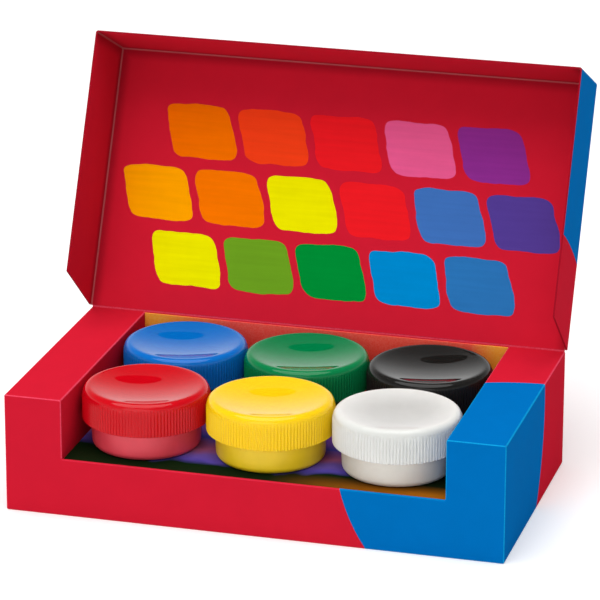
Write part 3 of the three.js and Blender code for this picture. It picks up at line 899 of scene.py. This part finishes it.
def crease_skin(board):
    """A narrow strip over the hinge line, from the rear wall's top into the lid's panel."""
    lean = np.array([math.cos(LID_LEAN), math.sin(LID_LEAN)])
    hinge = HINGE[1:]
    down, bent, up = 1.2 * MM, 0.3 * MM, 0.9 * MM
    path = [hinge - [0, down], hinge - [0, bent], hinge + bent * lean, hinge + up * lean]
    middle = finely(path, 0.15 * MM)
    ahead = np.gradient(middle, axis=0)
    ahead /= np.linalg.norm(ahead, axis=1, keepdims=True)
    aside = 0.45 * board.thickness * np.column_stack([-ahead[:, 1], ahead[:, 0]])
    side = BASE_HIGH[0] - bent
    # The whole strip carries the painted fold highlight at nearly full share
    return ribbon(middle, aside, X, -side, side, bend=np.full(4 * len(middle), 0.9))


class PAINTSET_OT_lid(bpy.types.Operator):
    """Lid tray and the crease that joins it to the rear wall"""

    bl_idname = "paintset.lid"
    bl_label = "Lid"

    def execute(self, context):
        board = context.scene.paint_set.board
        ball = (-118 * MM, -102.7 * MM, 46.7 * MM)
        print_of = two_inks(board, ball, radius=256 * MM, side="GREATER_THAN", in_lid=True)
        printed = varnished_board("varnished_boxboard_lid", print_of)
        dabs = varnished_board("varnished_boxboard_dabs", lid_dabs(board))
        # Painted shade: the lid's die-cut free edge is the red ground at half its light
        edge = varnished_board("varnished_boxboard_edge", lambda *_: shade(board.red, 0.5)[:3])
        tray = [lid_skin(board)]
        lid = make_piece("lid_board", tray, [printed, dabs, edge], "lid", ["lid_tray"], "carton")
        lid.visible_glossy = False
        crease = make_piece("lid_crease", [crease_skin(board)], [printed], None, slot="carton")
        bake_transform(crease)
        return {"FINISHED"}


def round_box(name, axis):
    """Radius of a round node, and the heights of its foot and top over its pot's foot."""
    low, high = node_box(name)
    return (high[0] - low[0]) / 2, low[2] - axis[2], high[2] - axis[2]


def pot_skin(jar, axis, size):
    """Body with a rounded foot and a hollow standing face, and a neck with a screw thread: a profile
    of straight lines and arcs turned round the axis, with the thread's ridge added to the neck."""
    tall, neck = size[2], size[0] / 2
    body = neck - jar.collar
    bore = body - jar.pot_wall
    draft, hollow, ease = 0.3 * MM, 0.4 * MM, 0.1 * MM
    ring = body - draft - jar.pot_foot
    shoulder = tall - jar.neck
    outside = [
        (0, hollow), (ring - 5 * hollow, hollow), (ring - 4 * hollow, 0),
        *quarter((ring, jar.pot_foot), jar.pot_foot, -math.pi / 2, 0, 9),
        (body, shoulder - jar.collar - 2 * ease), (body + ease, shoulder - jar.collar),
        (neck - ease, shoulder - ease), (neck, shoulder),
    ]
    lip = 0.4 * MM
    threaded = [(neck, shoulder), (neck, tall - lip)]
    inside = [
        *quarter((neck - lip, tall - lip), lip, 0, math.pi / 2, 4)[1:], (bore + lip / 2, tall),
        (bore, tall - lip / 2),
        *quarter((bore - BORE_FOOT, jar.pot_floor + BORE_FOOT), BORE_FOOT, 0, -math.pi / 2, 6),
        (0, jar.pot_floor),
    ]
    profile = np.concatenate(
        [finely(outside, 2 * MM)[:-1], finely(threaded, 0.25 * MM), finely(inside, 3 * MM)]
    )
    columns = 192
    on_neck = (profile[:, 0] > neck - TOLERANCE) & (profile[:, 1] >= shoulder)
    play, plain = 0.6 * MM, 1 * MM
    ridge = thread(profile[:, 1], columns, jar, shoulder + play, tall - plain, 0)
    ridge = ridge * on_neck[:, None] * (jar.thread_room - play)
    return turned(profile[:, :1] + ridge, profile[:, 1], columns, axis)


def fill_skin(hue, axis):
    """Fill that follows the pot's bore. Its surface falls from the wall by climb (1 - e^(-d / fading))
    with d the way from it, and swells a little in three places round the axis."""
    radius, bottom, top = round_box(f"{hue}_paint", axis)
    climb, fading, swelling, columns = 0.35 * MM, 0.8 * MM, 0.08 * MM, 96
    angle = np.linspace(0, 2 * np.pi, columns, endpoint=False)
    distance = np.linspace(radius, 0, 24)
    swell = np.sin(3 * angle + 2) * np.sin(distance[:, None] / radius * np.pi) ** 2
    sunk = climb * (1 - np.exp((distance - radius) / fading))
    surface = top - sunk[:, None] - swelling * swell**2
    foot = quarter((radius - BORE_FOOT, bottom + BORE_FOOT), BORE_FOOT, -math.pi / 2, 0, 6)
    lower = np.concatenate([[(0, bottom)], foot])
    heights = np.concatenate([np.repeat(lower[:, 1:], columns, axis=1), surface])
    return turned(np.concatenate([lower[:, 0], distance]), heights, columns, axis)


def foam_skin(jar, hue, axis, neck):
    """Foam disc with soft edges and, under it, the mark of the pot's rim: depth e^-(d / spread)^2 at
    a way d from the middle of the rim."""
    radius, bottom, top = round_box(f"{hue}_seal", axis)
    soft, depth, spread = 0.3 * MM, 0.15 * MM, 0.5 * MM
    rim = neck - (jar.collar + jar.pot_wall) / 2
    distance = np.linspace(0, radius - soft, 60)
    mark = depth * np.exp(-(((distance - rim) / spread) ** 2))
    lower = quarter((radius - soft, bottom + soft), soft, -math.pi / 2, 0, 4)[1:]
    upper = quarter((radius - soft, top - soft), soft, 0, math.pi / 2, 4)
    profile = np.concatenate([np.column_stack([distance, bottom + mark]), lower, upper, [(0, top)]])
    return turned(profile[:, 0], profile[:, 1], 96, axis)


def cap_skin(jar, hue, axis):
    """Dished cap with ribs that fade into its shoulder, a land for the foam and an inner thread.

    Outside, the skirt's wall rises to a quarter round of the shoulder's radius. The dish lies at
    crest - depth (root((1 - s^2)^2 + k^2) - k) with s the share of the crest's radius, so that it
    starts level at the crest. A rib adds half its depth times one plus the cosine of its angle.
    """
    outer, bottom, top = round_box(f"{hue}_cap", axis)
    tall = top - bottom
    root = outer - jar.rib_depth
    bore = root - jar.skirt_wall
    crest = root - jar.shoulder
    land = tall - jar.land
    under = tall - jar.dish - jar.top_wall
    columns, ease = jar.ribs * 6, 0.07
    share = np.linspace(1, 0, 34)[1:] ** 0.8
    fall = (np.sqrt((1 - share**2) ** 2 + ease**2) - ease) / (math.sqrt(1 + ease**2) - ease)
    dish = np.column_stack([crest * share, tall - jar.dish * fall])
    shoulder = quarter((crest, tall - jar.shoulder), jar.shoulder, 0, math.pi / 2)
    land_in, land_out, draft, groove = 3.3 * MM, 0.9 * MM, 0.3 * MM, land + 1.1 * MM
    inner = [
        (0, under), (crest / 2, under + 0.25 * jar.dish), (bore - land_in - draft, under + 0.78 * jar.dish),
        (bore - land_in, land), (bore - land_out, land), (bore - land_out + draft, groove), (bore, groove),
    ]
    wall = finely([inner[-1], (bore, 0.4 * MM)], 0.25 * MM)[1:]
    mouth = [(bore + 0.35 * MM, 0), (root - 0.25 * MM, 0), (root, 0.2 * MM)]
    skirt = finely([mouth[-1], (root, tall - jar.shoulder)], 0.7 * MM)[1:-1]
    profile = np.concatenate([inner, wall, mouth, skirt, shoulder, dish])
    height = profile[:, 1]
    outside = (np.arange(len(profile)) > len(inner) + len(wall)) & (profile[:, 0] > crest)
    ribs_end = tall - 1.4 * MM
    fade = 1 - rising(height, ribs_end - jar.shoulder, ribs_end)
    angle = np.linspace(0, 2 * np.pi, columns, endpoint=False)
    ribs = jar.rib_depth * (outside * fade)[:, None] * (0.5 + 0.5 * np.cos(jar.ribs * angle))
    on_bore = (np.abs(profile[:, 0] - bore) < TOLERANCE) & (height < land)
    first, last, play = 1.2 * MM, 6.8 * MM, 0.5 * MM
    ridge = thread(height, columns, jar, first, last, jar.lead / jar.starts / 2 - bottom)
    ridge = ridge * on_bore[:, None] * (jar.thread_room - play)
    return turned(profile[:, :1] + ribs - ridge, height, columns, axis + [0, 0, bottom])


class PAINTSET_OT_jars(bpy.types.Operator):
    """Six pots with their paint, foam disc and ribbed screw cap"""

    bl_idname = "paintset.jars"
    bl_label = "Jars"

    def execute(self, context):
        jar = context.scene.paint_set.jar
        foam = sealing_foam(jar.foam)
        for hue in JAR_COLOURS:
            low, high = node_box(f"{hue}_pot")
            axis = np.array([*(low + high)[:2] / 2, low[2]])
            size = high - low
            crest = node_box(f"{hue}_cap")[1][2]
            cap, pot, paint = (getattr(jar, f"{hue}_{thing}") for thing in JAR_THINGS)
            polished = polished_cap(f"polished_polypropylene_{hue}", cap, crest, float(hue == "white"))
            cloudy = cloudy_pot(f"natural_polypropylene_{hue}", pot)
            tempera = wet_tempera(f"tempera_{hue}", paint)
            for name, made, material, body, node_name, slot in (
                ("pot_body", pot_skin(jar, axis, size), cloudy, "jar", "pot", f"{hue}_pot"),
                ("fill", fill_skin(hue, axis), tempera, "jar", "paint", f"{hue}_paint"),
                ("foam", foam_skin(jar, hue, axis, size[0] / 2), foam, "seal", "seal", "foam"),
                ("screw_cap", cap_skin(jar, hue, axis), polished, "cap", "cap", f"{hue}_cap"),
            ):
                replaced = [f"{hue}_{node_name}"]
                make_piece(f"{hue}_{name}", [made], [material], f"{hue}_{body}", replaced, slot)
        return {"FINISHED"}


def pose_of(x_axis, y_axis, z_axis, place):
    """World matrix with these three axes and this place."""
    matrix = np.eye(4)
    matrix[:3, :] = np.column_stack([x_axis, y_axis, z_axis, place])
    return Matrix(matrix.tolist())


def softbox(name, energy, towards, size):
    """A round soft lamp at a distance from the middle of the object, that faces it."""
    distance = 1.6
    lamp = bpy.data.lights.new(name, "AREA")
    lamp.shape = "DISK"
    lamp.size = size
    lamp.energy = energy
    back = np.array(towards) / np.linalg.norm(towards)
    across = np.cross([0, 1, 0.1], back)
    across /= np.linalg.norm(across)
    middle = (np.array(CAD_BOX[0]) + np.array(CAD_BOX[1])) / 2
    made = bpy.data.objects.new(name, lamp)
    made.matrix_world = pose_of(across, np.cross(back, across), back, middle + distance * back)
    return made


def room(stage):
    """A pale room: its light on the object is plain, and it reads as white where it is seen. In
    gloss it grows dimmer from the floor up, and it has a dark gap behind the object."""
    world = bpy.data.worlds.new("pale_room")
    world.use_nodes = True
    world.node_tree.nodes.clear()
    add = partial(node, world.node_tree)
    strength = add("MapRange", [seen_plainly(add), 0, 1, stage.surround, 1])
    way = add("TexCoord", out="Generated")
    height = add("SeparateXYZ", [way], out=2)
    greys = ((0, 1), (0.3, 0.75), (0.44, 0.42), (0.62, 0.16))
    walls = add("ValToRGB", [height], stops=[(share, [grey] * 3) for share, grey in greys])
    towards_gap, edge = (-0.24, 0.82, 0.52), (0.072, 0.077)
    beside = add("VectorMath", [way, towards_gap], "DISTANCE", out="Value")
    gap = add("MapRange", [beside, *edge, 0, 1])
    ceiling = add("Math", [walls, gap], "MULTIPLY")
    gloss = add("LightPath", out="Is Glossy Ray")
    dimming = add("MapRange", [gloss, 0, 1, 1, ceiling])
    dimmed = add("Math", [strength, dimming], "MULTIPLY")
    light = add("Background", [shade((1, 1, 1)), dimmed])
    add("OutputWorld", [light])
    return world


class PAINTSET_OT_stage(bpy.types.Operator):
    """Floor, light, camera and view"""

    bl_idname = "paintset.stage"
    bl_label = "Stage"

    def execute(self, context):
        stage = context.scene.paint_set.stage
        context.scene.view_settings.view_transform = "Standard"
        context.scene.world = room(stage)
        reach, under = 6, -0.02 * MM
        rows = np.linspace(-reach, reach, 9)
        mesh = bpy.data.meshes.new("floor")
        ground = [(x, y, under) for y in rows for x in rows]
        mesh.from_pydata(ground, [], grid_faces(len(rows), len(rows)))
        mesh.materials.append(matt_floor(stage.floor))
        floor = bpy.data.objects.new("floor", mesh)

        overhead = softbox("overhead_softbox", stage.overhead, towards=[-0.08, -0.16, 0.98], size=2)
        front = softbox("front_softbox", stage.front, towards=[0, -0.97, 0.22], size=1.4)

        view = bpy.data.cameras.new("camera")
        view.lens = stage.lens
        view.sensor_width = 36
        view.clip_start = 0.05
        camera = bpy.data.objects.new("camera", view)
        right = np.array([0.96346, 0.26783, 0.00278])
        down = np.array([0.09072, -0.31657, -0.94422])
        ahead = np.array([-0.25201, 0.90997, -0.32931])
        eye = np.array([0.35472, -1.26613, 0.53205])
        camera.matrix_world = pose_of(right, -down, -ahead, eye)
        context.scene.camera = camera
        for thing in (floor, overhead, front, camera):
            context.scene.collection.objects.link(thing)
        return {"FINISHED"}


OPERATORS = (PAINTSET_OT_stage, PAINTSET_OT_walls, PAINTSET_OT_platform, PAINTSET_OT_lid, PAINTSET_OT_jars)


class PAINTSET_PT_sidebar(bpy.types.Panel):
    """Lists the paint set's pieces, with their sizes and colours"""

    bl_label = "Paint Set"
    bl_idname = "PAINTSET_PT_sidebar"
    bl_space_type = "VIEW_3D"
    bl_region_type = "UI"
    bl_category = "Paint Set"

    def draw(self, context):
        for operator in OPERATORS:
            self.layout.operator(operator.bl_idname)
        settings = context.scene.paint_set
        for group in (settings.board, settings.jar, settings.stage):
            column = self.layout.column(align=True)
            for key in group.__annotations__:
                column.prop(group, key)


CLASSES = (BoardSettings, JarSettings, StageSettings, PaintSetSettings, *OPERATORS, PAINTSET_PT_sidebar)


def register():
    """Registers the classes and hangs the settings on the scene."""
    for entry in CLASSES:
        bpy.utils.register_class(entry)
    bpy.types.Scene.paint_set = bpy.props.PointerProperty(
        type=PaintSetSettings, name="Paint set", description="Sizes and colours of the paint set",
    )


def unregister():
    """Takes the settings off the scene and the classes out."""
    del bpy.types.Scene.paint_set
    for entry in reversed(CLASSES):
        bpy.utils.unregister_class(entry)


def main():
    """Builds the paint set and its stage."""
    register()
    bpy.ops.paintset.stage()
    bpy.ops.paintset.walls()
    bpy.ops.paintset.platform()
    bpy.ops.paintset.lid()
    bpy.ops.paintset.jars()


if __name__ == "__main__":
    main()
